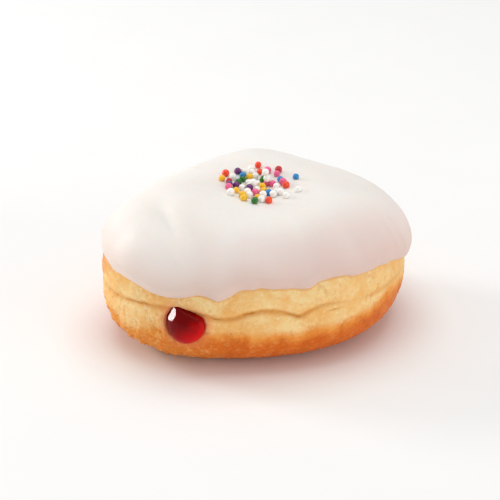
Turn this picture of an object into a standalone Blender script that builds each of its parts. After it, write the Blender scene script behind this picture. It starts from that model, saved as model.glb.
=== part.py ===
"""A filled yeast doughnut: fried dough, white icing with sugar beads in its dip, and jam in the filling hole.

Metres, +Z up. The doughnut stands on a flat spot at the origin, and -Y is its front. A bearing is an angle seen
from above, 0 at the front and growing towards +X. An arc is a distance along the dough's profile from the middle
of the top, down the side and under to the middle of the base.
"""

import math
import random
from bisect import bisect_right

import bmesh
import bpy
from mathutils import Matrix, Vector, noise

MM = 0.001
TURN = 2 * math.pi

# The dough in plan: a circle, pulled into an oval, with three and four soft corners
PLAN_RADIUS = 42.5 * MM
OVAL_PULL = 3.85 * MM
OVAL_BEARING = math.radians(-63)
TRIANGLE_PULL = 0.5 * MM
TRIANGLE_BEARING = math.radians(60)
SQUARE_PULL = 0.6 * MM
SQUARE_BEARING = math.radians(37)

# The dough from the side: a rounder upper half and a squarer lower half that meet at the widest line
WAIST_HEIGHT = 21.0 * MM
TOP_RISE = 24.3 * MM
TOP_ROUNDNESS = 2.23
BASE_DROP = 21.8 * MM
BASE_ROUNDNESS = 3.75

# What makes the top uneven: three humps with a ripple on them, a higher left side and the dip in the middle
HUMP_RISE = 2.15 * MM
HUMP_BEARING = math.radians(63)
RIPPLE_RISE = 0.45 * MM
LEAN_RISE = 0.9 * MM
LEAN_BEARING = math.radians(-66)
HUMP_SPREADS = (0.15, 0.75)
EVEN_BAND = 8.0 * MM
DIP_DEPTH = 4.2 * MM
DIP_REACH = 14.0 * MM
DIP_PLACE = Vector((0.5 * MM, -5.0 * MM))

# Smaller swellings and hollows of the top, in mm: place, bearing of the long way, half length and width, rise
SWELLINGS = (
    (-23.7, -23.9, 26, 10.5, 4.0, -1.3),
    (-17.4, -21.5, 26, 9.5, 4.6, 0.6),
    (-34.0, -28.0, 40, 7.0, 5.0, 0.6),
    (28.0, -25.5, 60, 5.5, 3.5, -0.8),
    (7.0, -33.5, 82, 12.0, 3.2, -0.5),
    (34.0, -16.0, 65, 6.0, 3.0, 0.5),
)

# The fold in the pale band: its height by bearing in degrees, its section, and how deep it is by bearing
FOLD_HEIGHTS = (
    (-90, 19.2), (-60, 19.0), (-48, 19.9), (-32, 20.6), (-24, 19.8), (-15, 18.2), (-9, 18.5), (-3, 19.8),
    (6, 20.2), (13, 18.9), (18, 17.7), (23, 19.0), (29, 20.0), (42, 19.4), (56, 18.5), (66, 18.5), (90, 18.4),
    (135, 20.6), (180, 21.6), (225, 20.2),
)
FOLD_DEPTHS = (
    (-90, 0.3), (-60, 0.7), (-40, 1.1), (-15, 1.2), (0, 1.3), (20, 1.2), (35, 0.5), (46, 0.2), (58, 0.7),
    (90, 0.3), (135, 1.0), (180, 0.7), (225, 1.1),
)
FOLD_WIDTH = 0.9 * MM
FOLD_REACH = 6.0 * MM

# The lower edge of the icing: its height by bearing in degrees, with one drip at the front left
ICING_EDGE = (
    (-100, 28.2), (-84, 28.2), (-70, 27.6), (-60, 26.6), (-50, 26.1), (-41, 24.8), (-31, 24.1), (-22, 25.2),
    (-14, 24.0), (-6, 26.6), (3, 26.9), (22, 25.9), (29, 27.3), (37, 27.3), (46, 26.4), (60, 26.0), (70, 24.8),
    (84, 21.9), (100, 23.0), (118, 26.5), (146, 24.8), (176, 28.0), (205, 25.4), (232, 28.6),
)
ICING_THICKNESS = 1.65 * MM
LIP_REACH = 2.6 * MM
GAP = 0.3 * MM

# Where the icing has run together and hangs thicker, at the right
SAG_GROWTH = 0.3 * MM
SAG_BEARING = math.radians(86)
SAG_SPREAD = math.radians(24)
SAG_SHARES = (0.55, 0.9)

# The crust low on the side, where the dough is rough at the front left and smoother elsewhere
CRAG_HEIGHT = 0.55 * MM
CRAG_ELSEWHERE = 0.25
CRAG_SIZE = 3.4 * MM
CRAG_BEARING = math.radians(-48)
CRAG_SPREAD = math.radians(26)
CRAG_FEET = (0.5 * MM, 3.0 * MM)
CRAG_TOPS = (9.0 * MM, 15.0 * MM)

# The filling hole, the channel behind it and the pocket of jam in the middle
HOLE_BEARING = math.radians(-27.5)
HOLE_HEIGHT = 16.1 * MM
HOLE_RADIUS = 5.8 * MM
THROAT_DEPTH = 2.5 * MM
THROAT_RADIUS = 5.3 * MM
CHANNEL_DEPTH = 7.0 * MM
CHANNEL_RADIUS = 4.0 * MM
POCKET_RADIUS = 11.0 * MM
POCKET_BACK = 50.0 * MM
JAM_BULGE = 2.2 * MM
CUT_REACH = 6.0 * MM

# The mouth's outline: nearly round, flat at the upper right and a little uneven
HOLE_FLAT_ANGLE = math.radians(68)
HOLE_FLAT_START = 0.68
HOLE_FLAT_CUT = 0.2
HOLE_UNEVENNESS = 0.03

# The sugar beads. Strays and those that show most are placed one by one, in mm, and a rule fills the heap
PLACED_BEADS = (
    (11.5, -0.5), (12.0, -10.0), (8.5, -12.5), (-9.0, 1.5), (-10.0, -2.0), (-8.0, -7.5), (-5.5, 3.5),
    (-4.0, 1.5),
    (-4.0, -0.5), (0.5, 7.5), (1.0, 4.0), (6.5, 4.5), (6.0, 2.5), (7.0, -1.0), (2.0, -0.5), (8.5, -5.5),
    (-4.0, -12.0), (-0.5, -15.5), (1.5, -14.0), (3.5, -14.5), (3.5, -9.0), (-2.0, 1.0),
)
LYING_BEADS = 55
TOP_BEADS = 4
TOP_SPREAD = 0.6
BEAD_RADIUS = 0.98 * MM
BEAD_SIZES = (0.88, 1.06)
BEAD_SINK = 0.28 * MM
BEAD_NESTING = 0.84
BEAD_ROOM = 1.8 * MM
BEAD_SEED = 47
PILE_PLACE = Vector((-0.6 * MM, -4.6 * MM))
PILE_REACH = (9.2 * MM, 10.6 * MM)
PILE_CROWDING = 0.6

# How finely the solids are divided
PROFILE_SAMPLES = 360
SLOPE_STEP = 0.2 * MM
BEARING_STEPS = 66
COVERED_RINGS = 13
BAND_RINGS = 4
BAND_CROWDING = 0.7
SIDE_RINGS = 15
SIDE_CROWDING = 1.3
LIP_RINGS = 4
JAM_STEPS = 20
DOME_RINGS = 4
POCKET_RINGS = 8
BEAD_SEGMENTS = 6
BEAD_RINGS = 4
BEAD_FACET_GROWTH = 1.09


def smooth_step(value, low, high):
    """0 below low, 1 above high, and an easy slope between."""
    share = min(1.0, max(0.0, (value - low) / (high - low)))
    return share * share * (3 - 2 * share)


def around(table, bearing):
    """The value of a closed table of (degrees, value) at a bearing, on a smooth curve through its rows."""
    degrees = (math.degrees(bearing) - table[0][0]) % 360 + table[0][0]
    count = len(table)
    at = bisect_right([row[0] for row in table], degrees) - 1
    rows = [table[(at + k) % count] for k in (-1, 0, 1, 2)]
    width = (rows[2][0] - rows[1][0]) % 360
    share = (degrees - rows[1][0]) / width
    before = (rows[1][0] - rows[0][0]) % 360
    after = (rows[3][0] - rows[2][0]) % 360
    slope_in = (rows[2][1] - rows[0][1]) / (before + width) * width
    slope_out = (rows[3][1] - rows[1][1]) / (width + after) * width
    square, cube = share**2, share**3
    return (
        (2 * cube - 3 * square + 1) * rows[1][1]
        + (cube - 2 * square + share) * slope_in
        + (3 * square - 2 * cube) * rows[2][1]
        + (cube - square) * slope_out
    )


def plan_radius(bearing):
    """How far the dough's widest line is from the middle."""
    oval = OVAL_PULL * math.cos(2 * (bearing - OVAL_BEARING))
    triangle = TRIANGLE_PULL * math.cos(3 * (bearing - TRIANGLE_BEARING))
    square = SQUARE_PULL * math.cos(4 * (bearing - SQUARE_BEARING))
    return PLAN_RADIUS + oval + triangle + square


def top_rise(bearing, spread):
    """How far the top stands over the widest line, at a share of the plan radius."""
    humps = HUMP_RISE * math.cos(3 * (bearing - HUMP_BEARING))
    ripple = RIPPLE_RISE * math.cos(6 * bearing)
    lean = LEAN_RISE * math.cos(bearing - LEAN_BEARING)
    return TOP_RISE + (humps + ripple + lean) * smooth_step(spread, *HUMP_SPREADS)


def unevenness(x, y):
    """How far the dip, the swellings and the hollows move the top up at a place."""
    reach = (Vector((x, y)) - DIP_PLACE).length / DIP_REACH
    rise = -DIP_DEPTH * math.exp(-reach * reach)
    for place_x, place_y, bearing, half_length, half_width, height in SWELLINGS:
        turn = math.radians(bearing)
        off_x, off_y = x / MM - place_x, y / MM - place_y
        along = (off_x * math.sin(turn) - off_y * math.cos(turn)) / half_length
        across = (off_x * math.cos(turn) + off_y * math.sin(turn)) / half_width
        rise += height * MM * math.exp(-along * along - across * across)
    return rise


def mean_profile():
    """The dough's section as (arc, spread, height) rows, where spread is the share of the plan radius."""
    rows = []
    arc = 0.0
    for k in range(PROFILE_SAMPLES + 1):
        angle = math.pi * k / PROFILE_SAMPLES
        across, upward = math.sin(angle), math.cos(angle)
        rise, power = (TOP_RISE, TOP_ROUNDNESS) if upward > 0 else (BASE_DROP, BASE_ROUNDNESS)
        reach = ((across / PLAN_RADIUS) ** power + (abs(upward) / rise) ** power) ** (-1 / power)
        spread, height = reach * across / PLAN_RADIUS, WAIST_HEIGHT + reach * upward
        if rows:
            arc += math.hypot((spread - rows[-1][1]) * PLAN_RADIUS, height - rows[-1][2])
        rows.append((arc, spread, height))
    return rows


PROFILE = mean_profile()
PROFILE_ARCS = [row[0] for row in PROFILE]
WHOLE_ARC = PROFILE[-1][0]
WAIST_ARC = PROFILE[PROFILE_SAMPLES // 2][0]


def profile_at(arc):
    """(spread, height) of the mean section at an arc."""
    arc = min(max(arc, 0.0), WHOLE_ARC)
    at = min(bisect_right(PROFILE_ARCS, arc), len(PROFILE) - 1)
    (arc_0, spread_0, height_0), (arc_1, spread_1, height_1) = PROFILE[at - 1], PROFILE[at]
    share = (arc - arc_0) / (arc_1 - arc_0)
    return spread_0 + (spread_1 - spread_0) * share, height_0 + (height_1 - height_0) * share


def dough_point(arc, bearing):
    """A point of the dough's smooth outside, before its fold and crags."""
    spread, height = profile_at(arc)
    radius = spread * plan_radius(bearing)
    x, y = radius * math.sin(bearing), -radius * math.cos(bearing)
    if height > WAIST_HEIGHT:
        height = WAIST_HEIGHT + (height - WAIST_HEIGHT) * top_rise(bearing, spread) / TOP_RISE
        height += unevenness(x, y) * smooth_step(height, WAIST_HEIGHT, WAIST_HEIGHT + EVEN_BAND)
    away = (height - WAIST_HEIGHT) / FOLD_REACH
    fold_shift = around(FOLD_HEIGHTS, bearing) * MM - WAIST_HEIGHT
    height += fold_shift * math.exp(-away * away)
    return Vector((x, y, max(height, 0.0)))


def outward(arc, bearing):
    """The direction straight out of the smooth dough."""
    if arc < SLOPE_STEP:
        return Vector((0, 0, 1))
    along = dough_point(arc + SLOPE_STEP, bearing) - dough_point(arc - SLOPE_STEP, bearing)
    turn = SLOPE_STEP / PLAN_RADIUS
    across = dough_point(arc, bearing + turn) - dough_point(arc, bearing - turn)
    return along.cross(across).normalized()


def crag(point, bearing):
    """How far the rough crust stands out at a point of the lower side."""
    off = math.remainder(bearing - CRAG_BEARING, TURN) / CRAG_SPREAD
    rough = CRAG_ELSEWHERE + math.exp(-off * off)
    low = smooth_step(point.z, *CRAG_FEET) * (1 - smooth_step(point.z, *CRAG_TOPS))
    return CRAG_HEIGHT * rough * low * noise.noise(point / CRAG_SIZE)


def relief(arc, bearing, point):
    """How far the fold and the crags move the dough's outside."""
    from_fold = (arc - WAIST_ARC) / FOLD_WIDTH
    fold = around(FOLD_DEPTHS, bearing) * MM * math.exp(-from_fold * from_fold)
    return crag(point, bearing) - fold


def icing_edge_arc(bearing):
    """The arc at which the dough is as low as the icing's edge."""
    low, high = 0.6 * WAIST_ARC, WAIST_ARC + 3 * MM
    wanted = around(ICING_EDGE, bearing) * MM
    for _ in range(30):
        middle = (low + high) / 2
        if dough_point(middle, bearing).z > wanted:
            low = middle
        else:
            high = middle
    return low


def covered_arcs(edge):
    """The arcs of the rings under the icing, the last one at its edge."""
    return [edge * k / COVERED_RINGS for k in range(1, COVERED_RINGS + 1)]


def dough_arcs(bearing):
    """The arcs of the dough's rings: under the icing, down the band to the fold, then round to the base."""
    edge = icing_edge_arc(bearing)
    to_waist, to_base = WAIST_ARC - edge, WHOLE_ARC - WAIST_ARC
    band = [edge + to_waist * (k / BAND_RINGS) ** BAND_CROWDING for k in range(1, BAND_RINGS + 1)]
    side = [WAIST_ARC + to_base * (k / SIDE_RINGS) ** SIDE_CROWDING for k in range(1, SIDE_RINGS)]
    return covered_arcs(edge) + band + side


def icing_thickness(arc, edge, bearing):
    """How thick the sheet of icing is, before its lip."""
    off = math.remainder(bearing - SAG_BEARING, TURN) / SAG_SPREAD
    low = smooth_step(arc / edge, *SAG_SHARES)
    return ICING_THICKNESS + SAG_GROWTH * low * math.exp(-off * off)


def icing_rows(bearing):
    """(arc, thickness) of the icing's rings: out over its top, round its lip and back along its underside."""
    edge = icing_edge_arc(bearing)
    sheet = [arc * (1 - LIP_REACH / edge) for arc in covered_arcs(edge)]
    rows = [(arc, icing_thickness(arc, edge, bearing)) for arc in sheet]
    for k in range(1, LIP_RINGS):
        angle = 0.5 * math.pi * k / LIP_RINGS
        arc = edge - LIP_REACH * (1 - math.sin(angle))
        rows.append((arc, icing_thickness(arc, edge, bearing) * math.cos(angle)))
    return rows + [(arc, 0.0) for arc in reversed(covered_arcs(edge))]


def new_object(name, shape, material):
    """An object with a mesh made from a bmesh, smooth but for its sharp edges."""
    bmesh.ops.recalc_face_normals(shape, faces=shape.faces)
    mesh = bpy.data.meshes.new(name)
    shape.to_mesh(mesh)
    shape.free()
    mesh.shade_smooth()
    mesh.set_sharp_from_angle(angle=math.radians(50))
    made = bpy.data.objects.new(name, mesh)
    bpy.context.scene.collection.objects.link(made)
    if material:
        mesh.materials.append(material)
    return made


def closed_rings(shape, rings, first, last):
    """Joins rings of points into one closed skin, between a first and a last single point."""
    loops = [[shape.verts.new(point) for point in ring] for ring in rings]
    for start, end in zip(loops, loops[1:]):
        for k, corner in enumerate(start):
            after = (k + 1) % len(start)
            shape.faces.new((corner, start[after], end[after], end[k]))
    for loop, point in ((loops[0], first), (loops[-1], last)):
        tip = shape.verts.new(point)
        for k, corner in enumerate(loop):
            shape.faces.new((corner, loop[(k + 1) % len(loop)], tip))


def finish(name, colour, roughness):
    """A plain food material."""
    material = bpy.data.materials.new(name)
    material.use_nodes = True
    shader = material.node_tree.nodes["Principled BSDF"]
    shader.inputs["Base Color"].default_value = (*colour, 1)
    shader.inputs["Roughness"].default_value = roughness
    shader.inputs["Metallic"].default_value = 0
    return material


def bearings():
    return [TURN * k / BEARING_STEPS for k in range(BEARING_STEPS)]


def make_dough(material):
    """The fried dough: the turned section with its fold and crags."""
    shape = bmesh.new()
    rays = []
    for bearing in bearings():
        ray = []
        for arc in dough_arcs(bearing):
            point = dough_point(arc, bearing)
            ray.append(point + outward(arc, bearing) * relief(arc, bearing, point))
        rays.append(ray)
    closed_rings(shape, zip(*rays), dough_point(0, 0), Vector((0, 0, 0)))
    return new_object("dough", shape, material)


def icing_point(arc, bearing, thickness):
    """A point that far over the underside of the icing."""
    return dough_point(arc, bearing) + outward(arc, bearing) * (GAP + thickness)


def make_icing(material):
    """The sheet of icing, draped over the dough down to its uneven edge."""
    shape = bmesh.new()
    rays = []
    for bearing in bearings():
        rays.append([icing_point(arc, bearing, thickness) for arc, thickness in icing_rows(bearing)])
    closed_rings(shape, zip(*rays), icing_point(0, 0, ICING_THICKNESS), icing_point(0, 0, 0))
    return new_object("icing", shape, material)


def icing_top(x, y):
    """The height of the icing's upper face over a place near the middle."""
    bearing = math.atan2(x, -y)
    spread = math.hypot(x, y) / plan_radius(bearing)
    rise = top_rise(bearing, spread) * (1 - spread**TOP_ROUNDNESS) ** (1 / TOP_ROUNDNESS)
    return WAIST_HEIGHT + rise + unevenness(x, y) + GAP + ICING_THICKNESS


def resting_height(x, y, radius, beads):
    """The height of a bead's middle when it is lowered onto the icing and the beads already there."""
    height = icing_top(x, y) + radius - BEAD_SINK
    for bead, other in beads:
        reach = BEAD_NESTING * (radius + other)
        across = math.hypot(x - bead.x, y - bead.y)
        if across < reach:
            height = max(height, bead.z + math.sqrt(reach**2 - across**2))
    return height


def bead_places():
    """(middle, radius) of each sugar bead: most lie where there is room for them, and the last few on top."""
    draw = random.Random(BEAD_SEED)
    spots = [(x * MM, y * MM) for x, y in PLACED_BEADS]
    while len(spots) < LYING_BEADS + TOP_BEADS:
        on_top = len(spots) >= LYING_BEADS
        angle, reach = draw.uniform(0, TURN), draw.random() ** PILE_CROWDING * (TOP_SPREAD if on_top else 1)
        x = PILE_PLACE.x + PILE_REACH[0] * reach * math.cos(angle)
        y = PILE_PLACE.y + PILE_REACH[1] * reach * math.sin(angle)
        nearest = min(math.hypot(x - other_x, y - other_y) for other_x, other_y in spots)
        if on_top or nearest > BEAD_ROOM:
            spots.append((x, y))
    beads = []
    for x, y in spots:
        radius = BEAD_RADIUS * draw.uniform(*BEAD_SIZES)
        beads.append((Vector((x, y, resting_height(x, y, radius, beads))), radius))
    return beads


def fuse_beads(icing):
    """Joins the sugar beads to the icing with one Boolean union, and removes the loose beads."""
    pile = bpy.data.collections.new("beads")
    bpy.context.scene.collection.children.link(pile)
    for place, radius in bead_places():
        shape = bmesh.new()
        full = radius * BEAD_FACET_GROWTH
        bmesh.ops.create_uvsphere(shape, u_segments=BEAD_SEGMENTS, v_segments=BEAD_RINGS, radius=full)
        bmesh.ops.translate(shape, verts=shape.verts, vec=place)
        bead = new_object("bead", shape, None)
        bpy.context.scene.collection.objects.unlink(bead)
        pile.objects.link(bead)
    union = icing.modifiers.new("beads", "BOOLEAN")
    union.operation = "UNION"
    union.operand_type = "COLLECTION"
    union.collection = pile
    union.solver = "EXACT"
    graph = bpy.context.evaluated_depsgraph_get()
    fused = bpy.data.meshes.new_from_object(icing.evaluated_get(graph))
    icing.modifiers.clear()
    icing.data = fused
    for bead in list(pile.objects):
        bpy.data.objects.remove(bead)
    bpy.data.collections.remove(pile)


def hole_frame():
    """The place of the filling hole: its origin in the mouth, its Z out of the hole and its Y upwards."""
    out = Vector((math.sin(HOLE_BEARING), -math.cos(HOLE_BEARING), 0))
    side = Vector((0, 0, 1)).cross(out)
    arc = WAIST_ARC
    while dough_point(arc, HOLE_BEARING).z > HOLE_HEIGHT:
        arc += 0.1 * MM
    mouth = dough_point(arc, HOLE_BEARING)
    turn = Matrix((side, Vector((0, 0, 1)), out)).transposed().to_4x4()
    return Matrix.Translation(mouth) @ turn


def hole_outline(angle):
    """The hole's uneven outline as a share of its radius: flat where the fold of dough hangs over it."""
    cut = HOLE_FLAT_CUT * smooth_step(math.cos(angle - HOLE_FLAT_ANGLE), HOLE_FLAT_START, 1.0)
    return 1 - cut + HOLE_UNEVENNESS * math.sin(3 * angle + 1)


def jam_rings(grow):
    """(distance out of the mouth, radius, how much of the outline it takes) down the jam, grown by a gap."""
    rows = [(0.0, HOLE_RADIUS, 1.0), (-THROAT_DEPTH, THROAT_RADIUS, 0.8)]
    rows.append((-CHANNEL_DEPTH, CHANNEL_RADIUS, 0.2))
    middle = POCKET_RADIUS - POCKET_BACK
    mouth_angle = math.asin(CHANNEL_RADIUS / POCKET_RADIUS)
    for k in range(POCKET_RINGS):
        angle = mouth_angle + (math.pi - mouth_angle) * k / POCKET_RINGS
        rows.append((middle + POCKET_RADIUS * math.cos(angle), POCKET_RADIUS * math.sin(angle), 0.0))
    return [(out, radius + grow, share) for out, radius, share in rows]


def turned(name, rows, tips, material):
    """A solid turned about the hole's axis from (out, radius, outline share) rows, between two tips."""
    shape = bmesh.new()
    rings = []
    for out, radius, share in rows:
        ring = []
        for k in range(JAM_STEPS):
            angle = TURN * k / JAM_STEPS
            reach = radius * (1 + share * (hole_outline(angle) - 1))
            ring.append(Vector((reach * math.cos(angle), reach * math.sin(angle), out)))
        rings.append(ring)
    closed_rings(shape, rings, Vector((0, 0, tips[0])), Vector((0, 0, tips[1])))
    bmesh.ops.transform(shape, matrix=hole_frame(), verts=shape.verts)
    return new_object(name, shape, material)


def make_jam(material):
    """The jam: a dome in the mouth of the hole, the channel it was piped through and the pocket it fills."""
    dome = []
    for k in range(1, DOME_RINGS):
        angle = 0.5 * math.pi * k / DOME_RINGS
        dome.append((JAM_BULGE * math.cos(angle), HOLE_RADIUS * math.sin(angle), math.sin(angle)))
    rows = [*dome, *jam_rings(0)]
    return turned("jam", rows, (JAM_BULGE, -POCKET_BACK), material)


def cut_pocket(dough):
    """Cuts the room for the jam out of the dough, with a small gap all round."""
    rows = [(CUT_REACH, HOLE_RADIUS + GAP, 1.0), *jam_rings(GAP)]
    cutter = turned("pocket_cutter", rows, (CUT_REACH, -POCKET_BACK - GAP), None)
    cutter.hide_render = True
    cutter.display_type = "WIRE"
    cut = dough.modifiers.new("pocket", "BOOLEAN")
    cut.operation = "DIFFERENCE"
    cut.object = cutter
    cut.solver = "EXACT"


def main():
    for old in list(bpy.data.objects):
        bpy.data.objects.remove(old)
    dough = make_dough(finish("fried_dough", (0.72, 0.40, 0.13), 0.6))
    icing = make_icing(finish("white_icing", (0.86, 0.82, 0.77), 0.25))
    fuse_beads(icing)
    make_jam(finish("red_jam", (0.35, 0.004, 0.01), 0.1))
    cut_pocket(dough)


main()
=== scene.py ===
"""The doughnut as it looks: fried dough with a pale band, white icing, sugar beads and a dab of jam.

Metres, +Z up, in the frame's own axes: -Y is the front. A bearing is an angle seen from above, 0 at the
front and growing towards +X. A slope is an angle down from straight up, about the middle of the dough's
widest line.
"""

import math
import random
from bisect import bisect_right

import bpy
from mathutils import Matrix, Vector
from mathutils.bvhtree import BVHTree


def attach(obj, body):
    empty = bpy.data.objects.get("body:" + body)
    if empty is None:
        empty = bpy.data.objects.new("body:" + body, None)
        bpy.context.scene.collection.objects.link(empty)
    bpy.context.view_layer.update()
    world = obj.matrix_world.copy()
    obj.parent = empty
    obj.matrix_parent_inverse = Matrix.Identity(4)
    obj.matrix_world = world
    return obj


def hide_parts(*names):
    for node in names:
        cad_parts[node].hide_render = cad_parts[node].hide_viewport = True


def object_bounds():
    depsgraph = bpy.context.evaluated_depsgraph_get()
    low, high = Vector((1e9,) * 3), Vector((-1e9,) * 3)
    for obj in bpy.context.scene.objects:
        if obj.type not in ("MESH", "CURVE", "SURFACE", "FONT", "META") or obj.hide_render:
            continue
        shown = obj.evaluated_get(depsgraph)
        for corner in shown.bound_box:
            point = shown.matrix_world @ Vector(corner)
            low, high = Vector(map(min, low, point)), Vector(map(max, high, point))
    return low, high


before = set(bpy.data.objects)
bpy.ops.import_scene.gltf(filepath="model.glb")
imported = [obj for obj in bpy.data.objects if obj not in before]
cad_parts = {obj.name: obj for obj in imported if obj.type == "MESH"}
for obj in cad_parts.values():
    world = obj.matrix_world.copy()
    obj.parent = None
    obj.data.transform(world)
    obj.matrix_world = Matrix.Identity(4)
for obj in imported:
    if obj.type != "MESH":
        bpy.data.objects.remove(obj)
CAD_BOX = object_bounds()

MM = 0.001
TURN = 2 * math.pi
HALF_TURN = math.pi

# The dough in plan, and its section: a rounder upper half and a squarer lower half
DOUGH_SIZES = {
    "Plan radius": 42.5 * MM,
    "Waist height": 21.0 * MM,
    "Top rise": 24.3 * MM,
    "Base drop": 21.8 * MM,
    "Dip depth": 4.2 * MM,
}
OVAL_PULL = 3.85 * MM
OVAL_BEARING = math.radians(-63)
TRIANGLE_PULL = 0.5 * MM
TRIANGLE_BEARING = math.radians(60)
SQUARE_PULL = 0.6 * MM
SQUARE_BEARING = math.radians(37)
TOP_ROUNDNESS = 2.23
BASE_ROUNDNESS = 3.75

# What makes the top uneven
HUMP_RISE = 2.15 * MM
HUMP_BEARING = math.radians(63)
RIPPLE_RISE = 0.45 * MM
LEAN_RISE = 0.9 * MM
LEAN_BEARING = math.radians(-66)
HUMP_SPREADS = (0.15, 0.75)
EVEN_BAND = 8.0 * MM
DIP_REACH = 14.0 * MM
DIP_PLACE = (0.5 * MM, -5.0 * MM)

# Smaller swellings and hollows of the top: place, bearing of the long way, half length, half width and
# rise, in mm and degrees
SWELLINGS = (
    (-23.7, -23.9, 26, 10.5, 4.0, -1.3),
    (-17.4, -21.5, 26, 9.5, 4.6, 0.6),
    (-34.0, -28.0, 40, 7.0, 5.0, 0.6),
    (28.0, -25.5, 60, 5.5, 3.5, -0.8),
    (7.0, -33.5, 82, 12.0, 3.2, -0.5),
    (34.0, -16.0, 65, 6.0, 3.0, 0.5),
)

# What changes round the side, as rows of (bearing in degrees, mm)
FOLD_HEIGHTS = (
    (-90, 19.2), (-60, 19.0), (-48, 19.9), (-32, 20.6), (-24, 19.8), (-15, 18.2), (-9, 18.5),
    (-3, 19.8), (6, 20.2), (13, 18.9), (18, 17.7), (23, 19.0), (29, 20.0), (42, 19.4),
    (56, 18.5), (66, 18.5), (90, 18.4), (135, 20.6), (180, 21.6), (225, 20.2),
)
FOLD_DEPTHS = (
    (-90, 0.3), (-60, 0.7), (-40, 1.1), (-15, 1.2), (0, 1.3), (20, 1.2), (35, 0.5),
    (46, 0.2), (58, 0.7), (90, 0.3), (135, 1.0), (180, 0.7), (225, 1.1),
)
ICING_EDGE = (
    (-100, 28.2), (-84, 28.2), (-70, 27.6), (-60, 26.6), (-50, 26.1), (-41, 24.8),
    (-31, 24.1), (-22, 25.2), (-14, 24.0), (-6, 26.6), (3, 26.9), (22, 25.9),
    (29, 27.3), (37, 27.3), (46, 26.4), (60, 26.0), (70, 24.8), (84, 21.9),
    (100, 23.0), (118, 26.5), (146, 24.8), (176, 28.0), (205, 25.4), (232, 28.6),
)
CRUST_TOPS = (
    (-100, 15.0), (-75, 15.5), (-61, 14.2), (-53, 12.6), (-46, 14.2), (-38, 15.7),
    (-17, 14.8), (-9, 14.5), (1, 13.8), (9, 14.0), (17, 12.7), (22, 13.5),
    (28, 14.0), (37, 13.5), (46, 14.7), (55, 15.1), (62, 17.1), (72, 17.0),
    (95, 15.0), (130, 13.6), (165, 15.4), (200, 14.0), (230, 15.8),
)
SIDE_TABLES = {
    "fold_height": FOLD_HEIGHTS,
    "fold_depth": FOLD_DEPTHS,
    "icing_edge": ICING_EDGE,
    "crust_top": CRUST_TOPS,
}

# The fold's section: a soft valley with a sharp crease in it, and how far up and down it bends the dough
FOLD_REACH = 6.0 * MM
FOLD_WIDTH = 0.9 * MM
CREASE_WIDTH = 0.24 * MM

# Short creases in the side: bearing, height, half length, half width, tilt and depth, in mm and degrees
CREASES = (
    (34.0, 18.0, 3.6, 0.45, 4, 0.5),
    (50.2, 18.3, 1.0, 0.3, 50, 0.35),
    (53.4, 18.6, 1.1, 0.3, 55, 0.35),
    (58.0, 20.0, 1.5, 0.35, 60, 0.45),
    (62.5, 21.2, 1.4, 0.35, 55, 0.4),
    (-70.0, 17.6, 3.2, 0.5, -12, 0.5),
    (110.0, 16.6, 4.5, 0.5, 6, 0.5),
    (158.0, 18.2, 3.5, 0.5, -10, 0.5),
    (214.0, 16.0, 4.0, 0.5, 8, 0.5),
)

# The icing's thickness, its lip and where it has run together and hangs thicker
ICING_SIZES = {
    "Icing thickness": 1.65 * MM,
    "Lip reach": 2.6 * MM,
    "Gap": 0.3 * MM,
}
LIP_SWELL = 0.22
LIP_DROOP = 0.35 * MM
SAG_GROWTH = 0.3 * MM
SAG_BEARING = math.radians(86)
SAG_SPREAD = math.radians(24)

# Small wrinkles in the icing, written as the top's swellings are
WRINKLES = (
    (-25.8, -23.0, 26, 9.0, 2.4, -0.95),
    (-20.0, -22.2, 26, 8.0, 3.0, 0.8),
    (35.0, -13.4, 82, 2.8, 0.7, 0.6),
    (36.8, -8.4, 80, 1.4, 0.7, 0.55),
    (40.0, -9.1, 75, 1.2, 0.7, 0.5),
    (8.5, -22.1, 60, 1.6, 0.7, 0.14),
    (-18.3, -11.2, 60, 1.5, 0.8, 0.2),
    (-18.6, 9.7, 40, 2.2, 1.0, 0.45),
    (-12.0, 26.0, 100, 3.0, 0.8, 0.25),
    (24.0, 20.0, 120, 3.4, 0.9, 0.25),
)

# The filling hole and the jam in it
HOLE_BEARING = math.radians(-27.5)
HOLE_HEIGHT = 16.1 * MM
HOLE_RADIUS = 5.8 * MM
THROAT_DEPTH = 2.5 * MM
THROAT_RADIUS = 5.3 * MM
CHANNEL_DEPTH = 7.0 * MM
CHANNEL_RADIUS = 4.0 * MM
POCKET_RADIUS = 11.0 * MM
POCKET_BACK = 50.0 * MM
JAM_BULGE = 2.5 * MM
JAM_SEAT = 0.7 * MM
HOLE_FLAT_ANGLE = math.radians(68)
HOLE_FLAT_START = 0.68
HOLE_FLAT_CUT = 0.2
HOLE_UNEVENNESS = 0.03
HOLE_LOBES = 3
HOLE_LOBE_TURN = 1

# The sugar beads. The strays and those that show most are placed one by one: place in mm and colour
PLACED_BEADS = (
    (11.5, -0.5, "blue"), (12.0, -10.0, "white"), (8.5, -12.5, "white"), (-9.0, 1.5, "coral"),
    (-10.0, -2.0, "yellow"), (-8.0, -7.5, "pink"), (-5.5, 3.5, "purple"), (-4.0, 1.5, "blue"),
    (-4.0, -0.5, "green"), (0.5, 7.5, "coral"), (1.0, 4.0, "coral"), (6.5, 4.5, "red"),
    (6.0, 2.5, "pink"), (7.0, -1.0, "blue"), (2.0, -0.5, "green"), (8.5, -5.5, "coral"),
    (-4.0, -12.0, "yellow"), (-0.5, -15.5, "green"), (1.5, -14.0, "white"), (3.5, -14.5, "coral"),
    (3.5, -9.0, "blue"), (-2.0, 1.0, "yellow"),
)

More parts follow.
